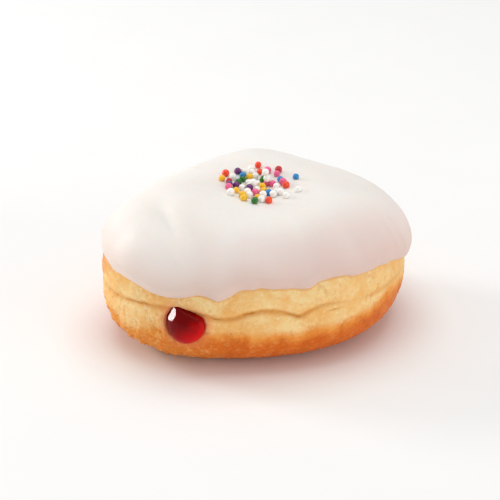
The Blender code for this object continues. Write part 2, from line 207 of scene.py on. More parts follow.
# A rule fills the heap between them: most lie where there is room, and the last few on top
LYING_BEADS = 55
TOP_BEADS = 4
TOP_SPREAD = 0.6
BEAD_RADIUS = 1.08 * MM
BEAD_SIZES = (0.88, 1.06)
BEAD_SINK = 0.28 * MM
BEAD_NESTING = 0.86
BEAD_ROOM = 1.8 * MM
BEAD_SEED = 47
PILE_PLACE = Vector((-0.6 * MM, -4.6 * MM))
PILE_REACH = (9.2 * MM, 10.6 * MM)
PILE_CROWDING = 0.6

# The beads' colours as seen, and how many in a hundred of those that the rule fills in have each
BEAD_COLOURS = {
    "white": ((255, 254, 250), 56),
    "red": ((196, 8, 30), 6),
    "coral": ((248, 70, 10), 5),
    "pink": ((246, 100, 152), 15),
    "yellow": ((255, 198, 0), 12),
    "green": ((4, 112, 16), 1),
    "blue": ((0, 136, 204), 1),
    "purple": ((112, 34, 112), 4),
}

# The photograph's camera: 450 mm off, looking 24 degrees down on a point in the middle of the doughnut
PHOTO_SIZE = 500
CAMERA_DISTANCE = 450 * MM
CAMERA_ELEVATION = math.radians(24)
CAMERA_TARGET = Vector((0, 0, 22 * MM))
CAMERA_FOCAL_PIXELS = 1510.0
TARGET_PIXEL = (256.4, 248.9)
SENSOR = 36.0

# How the surfaces are divided, and how the slope of the icing's edge is found
DOUGH_GRID = {"Bearings": 720, "Rows": 132, "Covered rows": 12}
ICING_GRID = {"Bearings": 430, "Rows": 108}
JAM_GRID = {"Steps round": 96, "Rows": 60}
BEAD_GRID = {"Segments": 20, "Rings": 12}
EDGE_STEPS = 7
EDGE_START = math.radians(80)
EDGE_STEEPNESS = 50 * MM
WALL_SHARE = 0.72
WALL_END = math.radians(122)
ROW_CROWDING = 1.6
DOME_STEPS = 24
WELD_DISTANCE = 0.004 * MM
FAR_OFF = 50 * MM

# Random swellings: their size, their detail and their roughness
FOLD_GRAIN = (2.2 * MM, 2.0, 0.5)
CRAG_GRAIN = (3.0 * MM, 4.0, 0.62)
SWELL_GRAIN = (11 * MM, 2.0, 0.5)
CRUMB_GRAIN = (1.5 * MM, 3.0, 0.6)
BROAD_PATCHES = (14 * MM, 3.0, 0.6)
MIDDLING_PATCHES = (4.5 * MM, 4.0, 0.62)
FINE_GRAIN = (1.1 * MM, 4.0, 0.65)
SPECKS = (0.45 * MM, 2.0, 0.6)
ICING_RUNS = (9 * MM, 1.0, 0.5)
SMALL_RUNS = (3 * MM, 1.0, 0.5)
ICING_CLOUDS = (16 * MM, 2.0, 0.5)
ICING_DIMPLES = (5 * MM, 2.0, 0.5)
ICING_GRAIN = (1.4 * MM, 3.0, 0.55)
JAM_WAVES = (4 * MM, 1.0, 0.5)
JAM_CLOTS = (3 * MM, 2.0, 0.5)
BEAD_DUST = (0.5 * MM, 2.0, 0.5)
FLOOR_GRAIN = (40 * MM, 2.0, 0.5)

# The dough's relief: its heights, where the crags are and where each form sets in
DOUGH_RELIEF = {
    "Fold wobble": 0.65 * MM,
    "Crag height": 3.6 * MM,
    "Swell height": 0.8 * MM,
    "Crumb height": 0.34 * MM,
    "Rim height": 0.16 * MM,
    "Dent depth": 3.0 * MM,
}
FOLD_SHARE = 0.65
CREASE_SHARE = 0.07
CRAG_BEARING = math.radians(-48)
CRAG_SPREAD = math.radians(26)
CRAG_ELSEWHERE = 0.17
CRAG_FEET = (0.3 * MM, 1.8 * MM)
CRAG_CRUST = (-1.5 * MM, 2.5 * MM)
CRAGS_IN_BAND = 0.35
RELIEF_START = 0.03
RIM_PLACE = 1.1 * MM
RIM_WIDTH = 0.9 * MM
DENT_WALL = (-0.05 * MM, 1.6 * MM)
TOAST_BEARING = math.radians(-80)
TOAST_SPREAD = math.radians(14)

# The icing's lip, its runs, the ripples of its edge, and the side away from the lights where shade is
# painted on it
LIP_BITE = 0.15 * MM
SAG_SHARES = (0.55, 0.9)
RUN_HEIGHT = 0.3 * MM
SMALL_RUN_HEIGHT = 0.06 * MM
EDGE_RIPPLES = ((23, 0.13 * MM), (41, 0.09 * MM), (67, 0.05 * MM))
RIPPLE_WANDER = 2.6
RIPPLE_WANDERINGS = 5
SHADED_SIDE_BEARING = math.radians(42)
SHADED_SIDE_SPREAD = math.radians(75)

# The jam's hang and ripple, the nearly flat place that catches the light, and the way to the side where
# light through it is painted in
JAM_HANG = 0.12
JAM_RIPPLE = 0.07 * MM
JAM_FLAT_PLACE = (-3.1 * MM, 2.8 * MM, 1.0 * MM)
JAM_FLAT_SLOPE = (0.441, -0.463)
JAM_FLAT_EASE = 0.12 * MM
JAM_LIT_WAY = (0.7, -0.7)
PROFILE_VALUES = ("out", "reach", "outline_share")
THROAT_OUTLINE_SHARE = 0.8
CHANNEL_OUTLINE_SHARE = 0.2

# The beads' shape and the draw of their colours
OUT_OF_ROUND = (0.93, 1.04)
SHAPE_SEED = 5
COLOUR_SEED = 2204


def seen(red, green, blue, alpha=1.0):
    """A colour from the numbers 0 to 255 that a screen shows it with."""

    def straight(value):
        share = value / 255
        return share / 12.92 if share <= 0.04045 else ((share + 0.055) / 1.055) ** 2.4

    return (straight(red), straight(green), straight(blue), alpha)


DOUGH_PALE = seen(248, 190, 112)
DOUGH_PORE = seen(206, 140, 66)
# The golden brown of the toasted dough at the left, and of the painted shade just under the icing's lip
DOUGH_TOAST_AND_LIP_SHADE = seen(234, 148, 64)
# The golden brown of the painted shade in the fold and in the creases
FOLD_SHADE_COLOUR = seen(224, 152, 62)
CRUST_TAN = seen(244, 158, 64)
CRUST_BROWN = seen(222, 108, 20)
CRUST_DARK = seen(186, 78, 10)
ICING_WHITE = seen(245, 241, 237)
JAM_DEEP = seen(116, 0, 2)
# The bright red of the painted light coming through the jam
JAM_PAINTED_LIGHT = seen(210, 0, 6)
FLOOR_WHITE = seen(250, 251, 252)
FLOOR_SHADE = seen(247, 248, 249)
SURROUND_COLOUR = seen(255, 253, 250)
SURROUND_STRENGTH = 0.53
FLOOR_REACH = 4.0

# Tints laid over other colours: the tint, where its value begins and is full, and how strong it gets
TINTS = {
    "cream": (seen(255, 222, 160), -0.2, 0.2, 1.0),
    "gold": (seen(232, 160, 76), 0.0, 0.3, 0.6),
    "fleck": (seen(255, 234, 194), 0.04, 0.25, 0.6),
    "browned": (CRUST_BROWN, 0.4, 5.0, 1.0),
    "dark": (CRUST_DARK, -0.05, 0.4, 0.6),
    "mottled": (seen(252, 200, 122), -0.02, 0.2, 1.0),
    "tan patch": (CRUST_TAN, 0.02, 0.18, 0.55),
    "toasted": (CRUST_BROWN, -0.3, 0.15, 0.7),
    # Painted shade: the fold's valley, the line in its crease and the fine creases are darkened golden brown
    "fold": (FOLD_SHADE_COLOUR, -1.4, 0.0, 0.55),
    "crease shade line": (seen(202, 124, 14), -0.5, -0.02, 0.7),
    "fine crease shade": (FOLD_SHADE_COLOUR, 0.3, 1.0, 0.6),
    "jam stain": (seen(236, 140, 96), -3.2, 0.2, 0.45),
    "jam rim": (seen(214, 78, 56), -0.35, 0.1, 0.6),
    "icing cream": (seen(241, 235, 229), -0.3, 0.3, 1.0),
    # Painted shade: the lip's warm tint is partly thin icing and partly shade, and the side away from the
    # lights is painted pinkish grey
    "thin icing and lip shade": (seen(226, 188, 168), -9.0, 0.3, 1.0),
    "shaded side of icing": (seen(223, 199, 193), -22.0, -6.0, 0.75),
    "dust": (ICING_WHITE, 0.05, 0.4, 0.25),
}

# Where the pores, the crust, the patches, the icing's thin edge and the painted light and shade are, and how
# strong they get
PORE_SPACING = 1.3 * MM
PORE_EDGE = (0.06, 0.3)
PORE_PATCHES = (-0.12, 0.12)
PORE_IN_BAND = 0.2
PORE_IN_CRUST = 0.5
CRUST_START = (-1.4, 1.8)
CRAG_PALENESS = 1.7
CRAG_TAN = 0.6
MOTTLED_SHARES = (0.28, 0.62)
TAN_PATCH_REACH = (-9.0, -3.0)
FOLD_SHADE_GAPS = (-0.1, 0.16)
TOAST_DEPTH = 11.0
TOAST_UNEVENNESS = 9.0
TOAST_AND_LIP_SHADE_START = -0.8
TOAST_AND_LIP_SHADE_PATCHES = 0.6
TOAST_AND_LIP_SHADE_PATCH_EDGES = (-0.2, 0.2)
THIN_AND_SHADED_SHARES = (0.35, 0.6)
JAM_LIT = (-0.25, 1.1)


def glow(weight, colour, reach):
    """The light that spreads under a surface."""
    return {"Subsurface Weight": weight, "Subsurface Radius": colour, "Subsurface Scale": reach}


# Each finish: the shader's own values, and how high its bump is
DOUGH_FINISH = {"Specular IOR Level": 0.18, **glow(0.25, (1.0, 0.45, 0.18), 1.6 * MM)}
ICING_FINISH = {
    "Specular IOR Level": 0.2,
    "Coat Weight": 0.05,
    "Coat Roughness": 0.15,
    **glow(0.35, (1.0, 0.62, 0.42), 1.6 * MM),
}
JAM_FINISH = {"Roughness": 0.09, "Specular IOR Level": 0.11, **glow(0.35, (1.0, 0.06, 0.05), 1.5 * MM)}
BEAD_FINISH = {"Coat Weight": 0.3, "Coat Roughness": 0.15, **glow(0.1, (1.0, 0.8, 0.7), 0.4 * MM)}
FLOOR_FINISH = {"Roughness": 0.9, "Specular IOR Level": 0.1}
DOUGH_BUMP = 0.32 * MM
ICING_BUMP = 0.035 * MM
JAM_BUMP = 0.03 * MM
BEAD_BUMP = 0.03 * MM

# Each light: name, place, aim, size, power, colour
LIGHTS = (
    ("low key", (-0.90, 0.38, 0.40), (0, 0, 0.03), 0.30, 3.2, (1.0, 0.985, 0.965)),
    ("left side", (-0.90, 0.08, 0.08), (0, 0, 0.02), 0.08, 1.15, (1.0, 0.985, 0.965)),
    ("overhead", (0.0, 0.15, 1.20), (0, 0, 0.03), 1.00, 6.1, (1.0, 1.0, 1.0)),
    ("front fill", (0.82, -0.60, 0.20), (0, 0, 0.02), 0.60, 3.0, (1.0, 0.98, 0.95)),
)


class Field:
    """A number or a vector that a node puts out. Python's signs between two of them add maths nodes."""

    def __init__(self, tree, socket):
        self.tree = tree
        self.socket = socket

    def maths(self, operation, *others):
        return maths(self.tree, operation, self, *others)

    def __add__(self, other):
        return self.maths("ADD", other)

    def __sub__(self, other):
        return self.maths("SUBTRACT", other)

    def __rsub__(self, other):
        return maths(self.tree, "SUBTRACT", other, self)

    def __mul__(self, other):
        return self.maths("MULTIPLY", other)

    def __truediv__(self, other):
        return self.maths("DIVIDE", other)

    def __rtruediv__(self, other):
        return maths(self.tree, "DIVIDE", other, self)

    def __pow__(self, other):
        return self.maths("POWER", other)

    __radd__ = __add__
    __rmul__ = __mul__


def plug(tree, entry, value):
    """Links a field to a node's entry, or sets the entry to a plain value."""
    if isinstance(value, Field):
        tree.links.new(value.socket, entry)
    else:
        entry.default_value = value


def add_node(tree, kind, entries=None, **settings):
    """A new node with its settings made and its entries filled."""
    node = tree.nodes.new(kind)
    for name, value in settings.items():
        setattr(node, name, value)
    for name, value in (entries or {}).items():
        plug(tree, node.inputs[name], value)
    return node


def out(tree, kind, entries=None, at=0, **settings):
    """What a new node puts out."""
    node = add_node(tree, kind, entries, **settings)
    return Field(tree, node.outputs[at])


def maths(tree, operation, *values):
    return out(tree, "ShaderNodeMath", dict(enumerate(values)), operation=operation)


def either(operation, plain):
    """A function that works on plain numbers and, with maths nodes, on fields."""

    def worked_out(*values):
        for value in values:
            if isinstance(value, Field):
                return maths(value.tree, operation, *values)
        return plain(*values)

    return worked_out


sine = either("SINE", math.sin)
cosine = either("COSINE", math.cos)
exponent = either("EXPONENT", math.exp)
size_of = either("ABSOLUTE", abs)
larger = either("MAXIMUM", max)
smaller = either("MINIMUM", min)
bearing_of = either("ARCTAN2", math.atan2)
is_over = either("GREATER_THAN", lambda value, limit: float(value > limit))
square_root = either("SQRT", math.sqrt)
remainder = either("WRAP", None)


def smooth_step(value, low, high):
    """0 below low, 1 above high, and an easy slope between."""
    share = smaller(larger((value - low) / (high - low), 0.0), 1.0)
    return share * share * (3 - 2 * share)


def bump(off, width):
    """1 in the middle, falling to 0 over about twice the width."""
    share = off / width
    return exponent(-1 * share * share)


def around(table, bearing):
    """The value of a closed table of (degrees, value) at a bearing, on a smooth curve through its rows."""
    degrees = (math.degrees(bearing) - table[0][0]) % 360 + table[0][0]
    count = len(table)
    at = bisect_right([row[0] for row in table], degrees) - 1
    rows = [table[(at + k) % count] for k in (-1, 0, 1, 2)]
    before, width, after = [(rows[k + 1][0] - rows[k][0]) % 360 for k in range(3)]
    share = (degrees - rows[1][0]) / width
    slope_in = (rows[2][1] - rows[0][1]) / (before + width) * width
    slope_out = (rows[3][1] - rows[1][1]) / (width + after) * width
    square, cube = share**2, share**3
    return (
        (2 * cube - 3 * square + 1) * rows[1][1]
        + (cube - 2 * square + share) * slope_in
        + (3 * square - 2 * cube) * rows[2][1]
        + (cube - square) * slope_out
    )


def plan_radius(bearing, sizes):
    """How far the dough's widest line is from the middle."""
    oval = OVAL_PULL * cosine(2 * (bearing - OVAL_BEARING))
    triangle = TRIANGLE_PULL * cosine(3 * (bearing - TRIANGLE_BEARING))
    square = SQUARE_PULL * cosine(4 * (bearing - SQUARE_BEARING))
    return sizes["Plan radius"] + oval + triangle + square


def top_rise(bearing, spread, sizes):
    """How far the top stands over the widest line, at a share of the plan radius."""
    humps = HUMP_RISE * cosine(3 * (bearing - HUMP_BEARING))
    ripple = RIPPLE_RISE * cosine(6 * bearing)
    lean = LEAN_RISE * cosine(bearing - LEAN_BEARING)
    return sizes["Top rise"] + (humps + ripple + lean) * smooth_step(spread, *HUMP_SPREADS)


def swelling(x, y, place_x, place_y, bearing, half_length, half_width, rise):
    """How high a long soft swelling stands at a place. A negative rise makes it a hollow."""
    long_x, long_y = math.sin(math.radians(bearing)), -math.cos(math.radians(bearing))
    off_x, off_y = x - place_x * MM, y - place_y * MM
    along = (off_x * long_x + off_y * long_y) / (half_length * MM)
    across = (off_y * long_x - off_x * long_y) / (half_width * MM)
    return rise * MM * exponent(-1 * (along * along + across * across))


def unevenness(x, y, sizes):
    """How far the dip, the swellings and the hollows move the top up at a place."""
    off_x, off_y = (x - DIP_PLACE[0]) / DIP_REACH, (y - DIP_PLACE[1]) / DIP_REACH
    rise = -1 * sizes["Dip depth"] * exponent(-1 * (off_x * off_x + off_y * off_y))
    for shape in SWELLINGS:
        rise = rise + swelling(x, y, *shape)
    return rise


def section_reach(across, upward, radius, height, roundness):
    """How far a rounded section of that half width and height reaches in a direction."""
    powers = (across / radius) ** roundness + (size_of(upward) / height) ** roundness
    return powers ** (-1 / roundness)


def dough_surface(slope, bearing, fold_height, sizes):
    """A point of the dough's smooth outside, before its folds and crags."""
    radius, waist = sizes["Plan radius"], sizes["Waist height"]
    across, upward = sine(slope), cosine(slope)
    is_upper = is_over(upward, 0.0)
    upper = section_reach(across, upward, radius, sizes["Top rise"], TOP_ROUNDNESS)
    lower = section_reach(across, upward, radius, sizes["Base drop"], BASE_ROUNDNESS)
    reach = lower + (upper - lower) * is_upper
    spread = reach * across / radius
    width = spread * plan_radius(bearing, sizes)
    x, y = width * sine(bearing), -1 * width * cosine(bearing)
    stretch = top_rise(bearing, spread, sizes) / sizes["Top rise"]
    lift = reach * upward * (1 + (stretch - 1) * is_upper)
    lift = lift + unevenness(x, y, sizes) * smooth_step(lift, 0.0, EVEN_BAND)
    height = waist + lift + (fold_height - waist) * bump(lift, FOLD_REACH)
    return x, y, larger(height, 0.0)


def hole_outline(angle):
    """The filling hole's outline as a share of its radius: flat where a fold of dough hangs over it."""
    cut = HOLE_FLAT_CUT * smooth_step(cosine(angle - HOLE_FLAT_ANGLE), HOLE_FLAT_START, 1.0)
    return 1 - cut + HOLE_UNEVENNESS * sine(HOLE_LOBES * angle + HOLE_LOBE_TURN)


def hole_mouth():
    """The middle of the filling hole's mouth, the way to its right and the way out of it."""
    drop = (DOUGH_SIZES["Waist height"] - HOLE_HEIGHT) / DOUGH_SIZES["Base drop"]
    reach = plan_radius(HOLE_BEARING, DOUGH_SIZES) * (1 - drop**BASE_ROUNDNESS) ** (1 / BASE_ROUNDNESS)
    outward = Vector((math.sin(HOLE_BEARING), -math.cos(HOLE_BEARING), 0))
    sideways = Vector((0, 0, 1)).cross(outward)
    return outward * reach + Vector((0, 0, HOLE_HEIGHT)), sideways, outward


def new_tree(name, entries, result="Geometry"):
    """A Geometry Nodes tree and its named inputs as fields. A text in entries names a kind of socket."""
    tree = bpy.data.node_groups.new(name, "GeometryNodeTree")
    for label, value in entries.items():
        kind = value if isinstance(value, str) else "Int" if isinstance(value, int) else "Float"
        socket = tree.interface.new_socket(label, in_out="INPUT", socket_type="NodeSocket" + kind)
        if not isinstance(value, str):
            socket.default_value = value
    tree.interface.new_socket(result, in_out="OUTPUT", socket_type="NodeSocket" + result)
    start = tree.nodes.new("NodeGroupInput")
    return tree, {label: Field(tree, start.outputs[label]) for label in entries}


def leave(tree, value):
    """Ends a tree with what it puts out."""
    end = tree.nodes.new("NodeGroupOutput")
    tree.links.new(value.socket, end.inputs[0])


def made_by(tree, name, base, material):
    """The plain mesh that a tree makes from a base mesh, with its material, as a new piece."""
    piece = bpy.data.objects.new(name, base)
    bpy.context.scene.collection.objects.link(piece)
    modifier = piece.modifiers.new(tree.name, "NODES")
    modifier.node_group = tree
    for item in tree.interface.items_tree:
        if item.name == "Material":
            modifier[item.identifier] = material
    graph = bpy.context.evaluated_depsgraph_get()
    mesh = bpy.data.meshes.new_from_object(piece.evaluated_get(graph))
    piece.modifiers.remove(modifier)
    piece.data = mesh
    mesh.name = name
    return piece


def points_mesh(name, places, values):
    """A mesh of loose points that carry named numbers."""
    mesh = bpy.data.meshes.new(name)
    mesh.from_pydata(places, [], [])
    for label, numbers in values.items():
        mesh.attributes.new(label, "FLOAT", "POINT").data.foreach_set("value", numbers)
    return mesh


def ring_of_tables(name, steps):
    """Points all round the doughnut, each with the side's tables at its bearing."""
    bearings = [TURN * k / steps for k in range(steps)]
    places = [(math.sin(b), -math.cos(b), 0) for b in bearings]
    values = {label: [around(table, b) * MM for b in bearings] for label, table in SIDE_TABLES.items()}
    wanders = [RIPPLE_WANDER * math.sin(RIPPLE_WANDERINGS * b) for b in bearings]
    for waves, height in EDGE_RIPPLES:
        ripple = [height * math.sin(waves * b + wander) for b, wander in zip(bearings, wanders)]
        values["icing_edge"] = [edge + rise for edge, rise in zip(values["icing_edge"], ripple)]
    return points_mesh(name, places, values)


def named_number(tree, label):
    """The number of that name that the points carry."""
    return out(tree, "GeometryNodeInputNamedAttribute", {"Name": label}, data_type="FLOAT")


def at_point(tree, geometry, label, index):
    """The number of that name at one of another geometry's points."""
    entries = {"Geometry": geometry, "Value": named_number(tree, label), "Index": index}
    return out(tree, "GeometryNodeSampleIndex", entries, data_type="FLOAT", domain="POINT")


def store(tree, geometry, label, value):
    """The geometry, carrying a number under that name."""
    entries = {"Geometry": geometry, "Name": label, "Value": value}
    return out(tree, "GeometryNodeStoreNamedAttribute", entries, data_type="FLOAT", domain="POINT")


def split(tree, vector):
    """The three numbers of a vector."""
    node = add_node(tree, "ShaderNodeSeparateXYZ", {0: vector})
    return [Field(tree, socket) for socket in node.outputs]


def joined(tree, x, y, z):
    """A vector of three numbers."""
    return out(tree, "ShaderNodeCombineXYZ", {0: x, 1: y, 2: z})


def times(tree, vector, amount):
    return out(tree, "ShaderNodeVectorMath", {0: vector, "Scale": amount}, operation="SCALE")


def plus(tree, first, second):
    return out(tree, "ShaderNodeVectorMath", {0: first, 1: second}, operation="ADD")


def noise(tree, place, grain):
    """Soft random swellings of a grain's size, detail and roughness, from about -0.5 to 0.5."""
    size, detail, roughness = grain
    entries = {"Vector": place, "Scale": 1 / size, "Detail": detail, "Roughness": roughness}
    return out(tree, "ShaderNodeTexNoise", entries) - 0.5


def moved(tree, geometry, place=None, offset=None):
    """The geometry with its points at new places, or moved by an offset."""
    entries = {"Geometry": geometry}
    if place is not None:
        entries["Position"] = place
    if offset is not None:
        entries["Offset"] = offset
    return out(tree, "GeometryNodeSetPosition", entries)


def welded(tree, geometry):
    """The geometry with the points that coincide made one."""
    return out(tree, "GeometryNodeMergeByDistance", {"Geometry": geometry, "Distance": WELD_DISTANCE})


def position(tree):
    return out(tree, "GeometryNodeInputPosition")


def grid(tree, columns, rows):
    """A flat grid of that many spaces, with its shares from left to right and from top to bottom."""
    entries = {"Size X": 1.0, "Size Y": 1.0, "Vertices X": columns + 1, "Vertices Y": rows + 1}
    sheet = out(tree, "GeometryNodeMeshGrid", entries)
    x, y, _ = split(tree, position(tree))
    return sheet, x + 0.5, 0.5 - y


def dressed(tree, geometry, material):
    """Ends a tree: its instances made real, its faces smooth and its material on."""
    real = out(tree, "GeometryNodeRealizeInstances", {"Geometry": geometry})
    smooth = out(tree, "GeometryNodeSetShadeSmooth", {0: real})
    entries = {"Geometry": smooth, "Material": material}
    leave(tree, out(tree, "GeometryNodeSetMaterial", entries))


def surface_group():
    """The dough's smooth outside, as nodes."""
    entries = {"Slope": 0.0, "Bearing": 0.0, "Fold height": 0.0, **DOUGH_SIZES}
    tree, fields = new_tree("dough surface", entries, "Vector")
    x, y, z = dough_surface(fields["Slope"], fields["Bearing"], fields["Fold height"], fields)
    leave(tree, joined(tree, x, y, z))
    return tree


def on_dough(tree, group, slope, bearing, fold_height, sizes):
    """The point of the dough's smooth outside at a slope and a bearing."""
    node = add_node(tree, "GeometryNodeGroup", node_tree=group)
    entries = {"Slope": slope, "Bearing": bearing, "Fold height": fold_height}
    entries.update({label: sizes[label] for label in DOUGH_SIZES})
    for label, value in entries.items():
        plug(tree, node.inputs[label], value)
    return Field(tree, node.outputs[0])


def edge_slope(tree, group, bearing, fold_height, edge_height, sizes):
    """The slope at which the dough is as low as the icing's edge, found by stepping down to it."""
    slope = EDGE_START
    for _ in range(EDGE_STEPS):
        height = split(tree, on_dough(tree, group, slope, bearing, fold_height, sizes))[2]
        slope = slope + (height - edge_height) / EDGE_STEEPNESS
    return slope


def round_dough(tree, group, sizes):
    """A grid wrapped round the dough: its sheet, its rows' shares, bearings, tables and the edge's slope."""
    sheet, across, down = grid(tree, sizes["Bearings"], sizes["Rows"])
    column = maths(tree, "ROUND", across * sizes["Bearings"])
    index = maths(tree, "MODULO", column, sizes["Bearings"])
    bearing = across * TURN
    row = {label: at_point(tree, sizes["Geometry"], label, index) for label in SIDE_TABLES}
    edge = edge_slope(tree, group, bearing, row["fold_height"], row["icing_edge"], sizes)
    return sheet, down, bearing, row, edge


def crease_line(tree, place, bearing, height, half_length, half_width, tilt):
    """1 along a short crease in the side, falling to 0 round it."""
    x, y, z = split(tree, place)
    long_x, long_y = math.cos(math.radians(bearing)), math.sin(math.radians(bearing))
    off = x * long_x + y * long_y
    facing = is_over(x * long_y - y * long_x, 0.0)
    rise = z - height * MM
    cos_tilt, sin_tilt = math.cos(math.radians(tilt)), math.sin(math.radians(tilt))
    along = (off * cos_tilt + rise * sin_tilt) / (half_length * MM)
    across = (rise * cos_tilt - off * sin_tilt) / (half_width * MM)
    return exponent(-1 * (along * along + across * across)) * facing


def from_hole(tree, place):
    """How far a point is from the filling hole's outline, and 1 on the hole's side of the dough."""
    mouth, sideways, outward = hole_mouth()
    x, y, z = split(tree, place)
    off = (x - mouth.x) * sideways.x + (y - mouth.y) * sideways.y
    rise = z - mouth.z
    facing = is_over(x * outward.x + y * outward.y, 0.0)
    outline = HOLE_RADIUS * hole_outline(bearing_of(rise, off))
    return square_root(off * off + rise * rise) - outline, facing


def dough_sheet(tree, group, sizes):
    """The dough's smooth outside as a sheet: the covered rows under the icing, the wall and the base."""
    sheet, down, bearing, row, edge = round_dough(tree, group, sizes)
    line = down * sizes["Rows"]
    covered = smaller(line / sizes["Covered rows"], 1.0)
    open_share = larger(line - sizes["Covered rows"], 0.0) / (sizes["Rows"] - sizes["Covered rows"])
    wall = smaller(open_share / WALL_SHARE, 1.0)
    base = larger(open_share - WALL_SHARE, 0.0) / (1 - WALL_SHARE)
    slope = edge * covered + (WALL_END - edge) * wall + (HALF_TURN - WALL_END) * base
    sheet = store(tree, sheet, "slope", slope)
    sheet = store(tree, sheet, "open_share", open_share)
    for label, value in row.items():
        sheet = store(tree, sheet, label, value)
    sheet = moved(tree, sheet, place=on_dough(tree, group, slope, bearing, row["fold_height"], sizes))
    return welded(tree, sheet)


def dough_tree(group):
    """The fried dough: its smooth outside with the folds, the crags and the dent round the jam."""
    entries = {"Geometry": "Geometry", **DOUGH_GRID, **DOUGH_SIZES, **DOUGH_RELIEF, "Material": "Material"}
    tree, sizes = new_tree("fried dough", entries)
    sheet = dough_sheet(tree, group, sizes)
    place = position(tree)
    x, y, z = split(tree, place)
    below_crust_top = named_number(tree, "crust_top") - z
    from_fold = (named_number(tree, "slope") - HALF_TURN / 2) * sizes["Plan radius"]
    from_fold = from_fold + noise(tree, place, FOLD_GRAIN) * sizes["Fold wobble"]
    valley = bump(from_fold, FOLD_WIDTH) * named_number(tree, "fold_depth") * FOLD_SHARE
    crease = bump(from_fold, CREASE_WIDTH) * named_number(tree, "fold_depth") * CREASE_SHARE
    relief = -1 * (valley + crease)
    # The creases' shares, kept to paint shade in them
    crease_shade_shares = 0.0
    for *shape, depth in CREASES:
        line = crease_line(tree, place, *shape)
        relief = relief - line * (depth * MM)
        crease_shade_shares = line + crease_shade_shares
    turned = bearing_of(x, -1 * y)
    crag_share = CRAG_ELSEWHERE + bump(turned - CRAG_BEARING, CRAG_SPREAD)
    off_base = smooth_step(z, *CRAG_FEET)
    crust = smooth_step(below_crust_top, *CRAG_CRUST)
    crags = noise(tree, place, CRAG_GRAIN) * sizes["Crag height"] * crag_share
    relief = relief + crags * off_base * (CRAGS_IN_BAND + (1 - CRAGS_IN_BAND) * crust)
    relief = relief + noise(tree, place, SWELL_GRAIN) * sizes["Swell height"] * off_base
    relief = relief + noise(tree, place, CRUMB_GRAIN) * sizes["Crumb height"] * off_base
    distance, facing = from_hole(tree, place)
    rim = bump(distance - RIM_PLACE, RIM_WIDTH) * sizes["Rim height"]
    dent = smooth_step(-1 * distance, *DENT_WALL) * sizes["Dent depth"]
    relief = relief + (rim - dent) * facing
    marks = {
        "under_icing": named_number(tree, "icing_edge") - z,
        "in_crust": below_crust_top,
        "off_fold": size_of(from_fold),
        "crease_shade_share": crease_shade_shares,
        "off_jam": distance + (1 - facing) * FAR_OFF,
        "crag_share": crag_share,
        "toast": bump(turned - TOAST_BEARING, TOAST_SPREAD),
    }
    for label, value in marks.items():
        sheet = store(tree, sheet, label, value)
    bare = smooth_step(named_number(tree, "open_share"), 0.0, RELIEF_START)
    normal = out(tree, "GeometryNodeInputNormal")
    sheet = moved(tree, sheet, offset=times(tree, normal, relief * bare))
    dressed(tree, sheet, sizes["Material"])
    return tree


def icing_tree(group):
    """The icing: a closed sheet over the dough with a rounded lip, run a little thicker along its edge."""
    entries = {"Geometry": "Geometry", **ICING_GRID, **DOUGH_SIZES, **ICING_SIZES, "Material": "Material"}
    tree, sizes = new_tree("poured icing", entries)
    sheet, down, bearing, row, edge = round_dough(tree, group, sizes)
    slope = edge * (1 - (1 - down) ** ROW_CROWDING)
    # Painted shade: how near a point is to the side away from the lights, where the icing's colour is
    # painted darker
    off_shaded_side = remainder(bearing - SHADED_SIDE_BEARING, HALF_TURN, -HALF_TURN)
    sheet = store(tree, sheet, "to_edge", (edge - slope) * sizes["Plan radius"])
    sheet = store(tree, sheet, "shaded_side_share", bump(off_shaded_side, SHADED_SIDE_SPREAD))
    sheet = store(tree, sheet, "share", slope / edge)
    sheet = moved(tree, sheet, place=on_dough(tree, group, slope, bearing, row["fold_height"], sizes))
    sheet = welded(tree, sheet)
    entries = {"Geometry": sheet, "Name": "outward", 3: out(tree, "GeometryNodeInputNormal")}
    kind = {"data_type": "FLOAT_VECTOR", "domain": "POINT"}
    sheet = out(tree, "GeometryNodeStoreNamedAttribute", entries, **kind)

    place = position(tree)
    x, y, _ = split(tree, place)
    to_edge = named_number(tree, "to_edge")
    outward = out(tree, "GeometryNodeInputNamedAttribute", {"Name": "outward"}, data_type="FLOAT_VECTOR")
    lip_share = 1 - smaller(to_edge / sizes["Lip reach"], 1.0)
    lip = square_root(larger(1 - lip_share * lip_share, 0.0))
    off_sag = bearing_of(x, -1 * y) - SAG_BEARING
    low_share = smooth_step(named_number(tree, "share"), *SAG_SHARES)
    sag = SAG_GROWTH * low_share * bump(off_sag, SAG_SPREAD)
    swell = 1 + LIP_SWELL * bump(to_edge - sizes["Lip reach"], sizes["Lip reach"])
    runs = noise(tree, place, ICING_RUNS) * RUN_HEIGHT + noise(tree, place, SMALL_RUNS) * SMALL_RUN_HEIGHT
    for shape in WRINKLES:
        runs = runs + swelling(x, y, *shape)
    thickness = ((sizes["Icing thickness"] + sag) * swell + runs) * lip
    closing = smooth_step(-1 * to_edge, -1 * sizes["Lip reach"], 0.0)
    clear = sizes["Gap"] - (sizes["Gap"] + LIP_BITE) * closing
    droop = joined(tree, 0.0, 0.0, -1 * LIP_DROOP * lip * smooth_step(lip_share, 0.0, 1.0))
    outer = moved(tree, sheet, offset=plus(tree, times(tree, outward, clear + thickness), droop))
    under = moved(tree, sheet, offset=times(tree, outward, clear))
    under = out(tree, "GeometryNodeFlipFaces", {"Mesh": under})
    both = add_node(tree, "GeometryNodeJoinGeometry")
    for part in (under, outer):
        tree.links.new(part.socket, both.inputs[0])
    dressed(tree, welded(tree, Field(tree, both.outputs[0])), sizes["Material"])
    return tree


